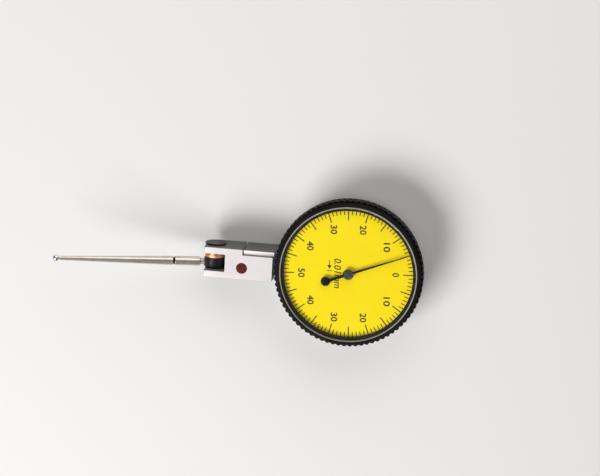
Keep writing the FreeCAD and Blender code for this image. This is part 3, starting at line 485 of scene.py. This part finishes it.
# Text turned into a thin closed mesh of a given size, centred on a place on the dial. It
# is filled while a thousand times larger, which keeps the small holes of the letters,
# and a flattened bevel makes the strokes bolder.
def label(name, words, size, at, weight, slant=0.0):
    clearSelection()
    bpy.ops.object.text_add()
    text = bpy.context.object
    text.name = name
    text.data.body = words
    text.data.size = size[1] / dialPrint["capHeight"]
    text.data.shear = slant
    text.data.bevel_depth = weight
    text.data.bevel_resolution = 0
    text.data.extrude = dialPrint["inkThick"] / 2
    text.data.resolution_u = dialPrint["curveSteps"]
    bpy.ops.object.convert(target="MESH")
    bpy.ops.object.mode_set(mode="EDIT")
    bpy.ops.mesh.select_all(action="SELECT")
    bpy.ops.mesh.remove_doubles(threshold=dialPrint["joinGap"])
    bpy.ops.object.mode_set(mode="OBJECT")
    mesh = text.data
    spans = [[v.co[k] for v in mesh.vertices] for k in range(3)]
    centre = Vector([(min(span) + max(span)) / 2 for span in spans])
    goal = (*size, dialPrint["inkThick"])
    fit = [goal[k] / (max(spans[k]) - min(spans[k])) for k in range(3)] + [1]
    lift = dialTop + mm(dialPrint["inkThick"]) / 2
    mesh.transform(Matrix.Translation(-centre))
    mesh.transform(Matrix.Scale(1 / workScale, 4) @ Matrix.Diagonal(fit))
    mesh.transform(Matrix.Translation((at[0], at[1], lift)))
    mesh.transform(dialMatrix())
    return text


def makeNumbers():
    numbers = []
    count = dialPrint["numberCount"]
    step = dialPrint["divisions"] // count
    radius = mm(dialPrint["numberRadius"])
    for i in range(count):
        value = step * min(i, count - i)
        angle = math.radians(90 - 360 / count * i)
        at = (radius * math.cos(angle), radius * math.sin(angle))
        wide = dialPrint["numberWidth"] if value else dialPrint["zeroWidth"]
        numbers.append(label(f"number{i}", str(value), (wide, dialPrint["numberHeight"]),
                             at, dialPrint["numberWeight"]))
    return onDial(joinAs("dialNumbers", numbers))


# The sign for the stylus's push: an arrow that runs up to a line
def makeArrow():
    clearSelection()
    plan = dialPrint["arrow"]
    thick = dialPrint["inkThick"]
    shaft = bar("arrowShaft", plan["shaft"], plan["stroke"], thick)
    wall = bar("arrowWall", plan["wall"], plan["stroke"], thick)
    bpy.ops.mesh.primitive_cylinder_add(vertices=3, radius=mm(plan["head"]),
                                        depth=mm(thick), location=(0, 0, mm(thick) / 2))
    head = bpy.context.object
    head.data.transform(Matrix.Translation((0, 0, mm(thick) / 2)))
    head.location = (0, 0, 0)
    pointRight = Matrix.Rotation(math.radians(-90), 4, "Z")
    head.data.transform(pointRight)
    shaft.data.transform(Matrix.Translation((-mm(plan["shaftFrom"]), 0, 0)) @ pointRight)
    wall.data.transform(Matrix.Translation((mm(plan["gap"]), mm(plan["wall"]) / 2, 0)))
    place = dialMatrix() @ Matrix.Translation(
        (-mm(plan["left"]), -mm(plan["drop"]), dialTop))
    pieces = [shaft, wall, head]
    for piece in pieces:
        piece.data.transform(place)
    return onDial(joinAs("dialArrow", pieces))


makeTicks()
makeNumbers()
onDial(label("dialUnit", dialPrint["unitText"], dialPrint["unitSize"],
             (0, -mm(dialPrint["unitDrop"])), dialPrint["unitWeight"],
             dialPrint["unitSlant"]))
makeArrow()

print("stage 4: crystal and hand")

# The crystal as one flat pane with a small slope at its upper edge
panePlan = {"radius": 17.8, "thick": 0.65, "slope": 0.05, "sides": 160, "sharpAngle": 20}


def makeCrystal():
    clearSelection()
    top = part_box("crystal")[1].z
    bpy.ops.mesh.primitive_cylinder_add(vertices=panePlan["sides"],
                                        radius=mm(panePlan["radius"]),
                                        depth=mm(panePlan["thick"]))
    pane = bpy.context.object
    pane.name = "crystalPane"
    pane.data.transform(Matrix.Translation((0, 0, top - mm(panePlan["thick"]) / 2)))
    bpy.ops.object.mode_set(mode="EDIT")
    bpy.ops.mesh.select_mode(type="EDGE")
    bpy.ops.mesh.select_all(action="DESELECT")
    bpy.ops.object.mode_set(mode="OBJECT")
    for edge in pane.data.edges:
        ends = [pane.data.vertices[i].co.z for i in edge.vertices]
        edge.select = min(ends) > top - mm(panePlan["thick"]) / 2
    bpy.ops.object.mode_set(mode="EDIT")
    bpy.ops.mesh.bevel(offset=mm(panePlan["slope"]), segments=1)
    bpy.ops.object.mode_set(mode="OBJECT")
    bpy.ops.object.shade_smooth_by_angle(angle=math.radians(panePlan["sharpAngle"]))
    coat(pane, "clearCrystal")
    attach(pane, "bezel")
    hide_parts("crystal")


makeCrystal()

# The hand as one flat stamping: a blade that narrows to its tip and a round counterweight
handPlan = {
    "reading": 5.1, "tip": 16.6, "tail": 6.3, "tipWidth": 0.2, "tailWidth": 0.85,
    "weightRadius": 1.25, "bossRadius": 1.12, "thick": 0.15, "rounding": 0.03,
    "discSides": 64, "edgeSteps": 2,
}


def makeDisc(name, radius, centre):
    bpy.ops.mesh.primitive_cylinder_add(vertices=handPlan["discSides"], radius=mm(radius),
                                        depth=mm(handPlan["thick"]))
    disc = bpy.context.object
    disc.name = name
    disc.data.transform(Matrix.Translation((0, mm(centre), mm(handPlan["thick"]) / 2)))
    return disc


def makeHand():
    clearSelection()
    span = handPlan["tip"] + handPlan["tail"]
    blade = bar("handBlade", span, handPlan["tailWidth"], handPlan["thick"])
    blade.data.transform(Matrix.Translation((0, mm(handPlan["tip"]), 0)))
    narrowing = handPlan["tipWidth"] / handPlan["tailWidth"]
    for vertex in blade.data.vertices:
        if vertex.co.y > 0:
            vertex.co.x *= narrowing
    pieces = [blade, makeDisc("handWeight", handPlan["weightRadius"], -handPlan["tail"]),
              makeDisc("handBoss", handPlan["bossRadius"], 0)]
    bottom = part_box("hand")[0].z
    turn = handPlan["reading"] * division
    for piece in pieces:
        pick(piece)
        edge = piece.modifiers.new("roundedEdge", "BEVEL")
        edge.width = mm(handPlan["rounding"])
        edge.segments = handPlan["edgeSteps"]
        bpy.ops.object.modifier_apply(modifier=edge.name)
        piece.data.transform(Matrix.Translation((0, 0, bottom)) @ dialMatrix(turn))
    hand = joinAs("handPointer", pieces)
    coat(hand, "handBlack")
    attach(hand, "hand")
    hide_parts("hand")


makeHand()

print("stage 5: floor, light and camera")

# Lengths in metres, powers in watts
studio = {
    "floorSize": 1.6, "floorGap": 0.00002, "floorColor": (0.80, 0.79, 0.775),
    "floorRoughness": 0.85, "worldColor": (1.0, 0.99, 0.975), "worldStrength": 0.22,
    "middle": (-0.02, 0, 0.01),
    "keyPlace": (-0.34, -0.36, 0.50), "keySize": (0.45, 0.35), "keyPower": 4.75,
    "rimPlace": (0.085, 0.41, 0.28), "rimSize": (0.6, 0.36), "rimPower": 1.1,
}


def makeFloor():
    clearSelection()
    bpy.ops.mesh.primitive_plane_add(size=studio["floorSize"],
                                     location=(0, 0, -studio["floorGap"]))
    floor = bpy.context.object
    floor.name = "studioFloor"
    material = bpy.data.materials.new("floorPaper")
    material.use_nodes = True
    shader = material.node_tree.nodes["Principled BSDF"]
    shader.inputs["Base Color"].default_value = (*studio["floorColor"], 1)
    shader.inputs["Roughness"].default_value = studio["floorRoughness"]
    floor.data.materials.append(material)


def addPanel(name, place, size, power):
    lamp = bpy.data.lights.new(name, "AREA")
    lamp.shape = "RECTANGLE"
    lamp.size, lamp.size_y = size
    lamp.energy = power
    holder = bpy.data.objects.new(name, lamp)
    bpy.context.scene.collection.objects.link(holder)
    holder.location = place
    aim = Vector(studio["middle"]) - Vector(place)
    holder.rotation_mode = "QUATERNION"
    holder.rotation_quaternion = aim.to_track_quat("-Z", "Y")


def makeLight():
    world = bpy.data.worlds.new("studioWorld")
    bpy.context.scene.world = world
    world.use_nodes = True
    background = world.node_tree.nodes["Background"]
    background.inputs["Color"].default_value = (*studio["worldColor"], 1)
    background.inputs["Strength"].default_value = studio["worldStrength"]
    for name in ("key", "rim"):
        addPanel(name + "Panel", studio[name + "Place"], studio[name + "Size"],
                 studio[name + "Power"])


# The camera looks down at the dial from a little towards the side rail. Its place was
# worked out from the dial's centre, the bezel, the bar's corners and the ball. Angles in
# degrees, lengths in millimetres, the clips in metres.
cameraPlan = {
    "azimuth": 66.4, "elevation": 75.2, "roll": 3.3, "distance": 700.0,
    "target": (-13.28, 8.51, 11.0), "pixelsPerMm": 3.826, "pictureWidth": 600,
    "sensorWidth": 36.0, "clipStart": 0.01, "clipEnd": 10,
}


def makeCamera():
    azimuth = math.radians(cameraPlan["azimuth"])
    elevation = math.radians(cameraPlan["elevation"])
    roll = math.radians(cameraPlan["roll"])
    back = Vector((math.cos(elevation) * math.cos(azimuth),
                   math.cos(elevation) * math.sin(azimuth), math.sin(elevation)))
    across = Vector((0, 1, 0)).cross(back).normalized()
    upward = back.cross(across)
    right = across * math.cos(roll) + upward * math.sin(roll)
    up = upward * math.cos(roll) - across * math.sin(roll)
    camera = bpy.data.cameras.new("photoCamera")
    holder = bpy.data.objects.new("photoCamera", camera)
    bpy.context.scene.collection.objects.link(holder)
    target = mm(Vector(cameraPlan["target"]))
    place = target + back * mm(cameraPlan["distance"])
    turn = Matrix((right, up, back)).transposed().to_4x4()
    holder.matrix_world = Matrix.Translation(place) @ turn
    camera.sensor_width = cameraPlan["sensorWidth"]
    camera.lens = (cameraPlan["pixelsPerMm"] * cameraPlan["distance"]
                   / cameraPlan["pictureWidth"] * cameraPlan["sensorWidth"])
    camera.clip_start = cameraPlan["clipStart"]
    camera.clip_end = cameraPlan["clipEnd"]
    bpy.context.scene.camera = holder


makeFloor()
makeLight()
makeCamera()
bpy.context.scene.view_settings.view_transform = "Standard"
